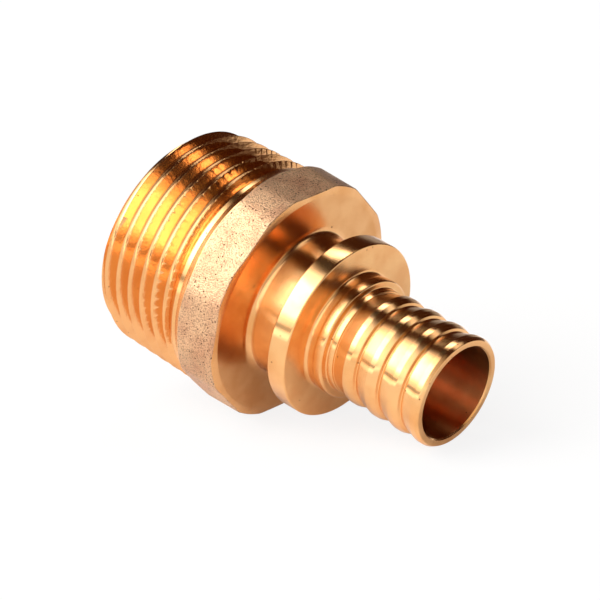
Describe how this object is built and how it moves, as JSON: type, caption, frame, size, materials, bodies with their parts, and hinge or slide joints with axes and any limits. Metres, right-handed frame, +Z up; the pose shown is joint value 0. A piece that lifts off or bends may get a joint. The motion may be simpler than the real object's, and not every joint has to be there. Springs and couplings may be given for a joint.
{
  "type": "pex male adapter",
  "caption": "Brass adapter with a ribbed spigot for plastic pipe, a stop collar, an octagonal wrench section and a tapered male thread.",
  "frame": {"origin": "centre of the footprint, on the surface the adapter rests on", "axes": "+Z up; +X toward the spigot's mouth, with the adapter lying nose down so that its own axis slopes 17.2 degrees below +X; +Y to the left when looking along +X"},
  "size_m": [0.0566, 0.034, 0.0381],
  "materials": {
    "brass": "satin"
  },
  "bodies": {
    "root": {"adapter_body": "brass"}
  },
  "joints": []
}
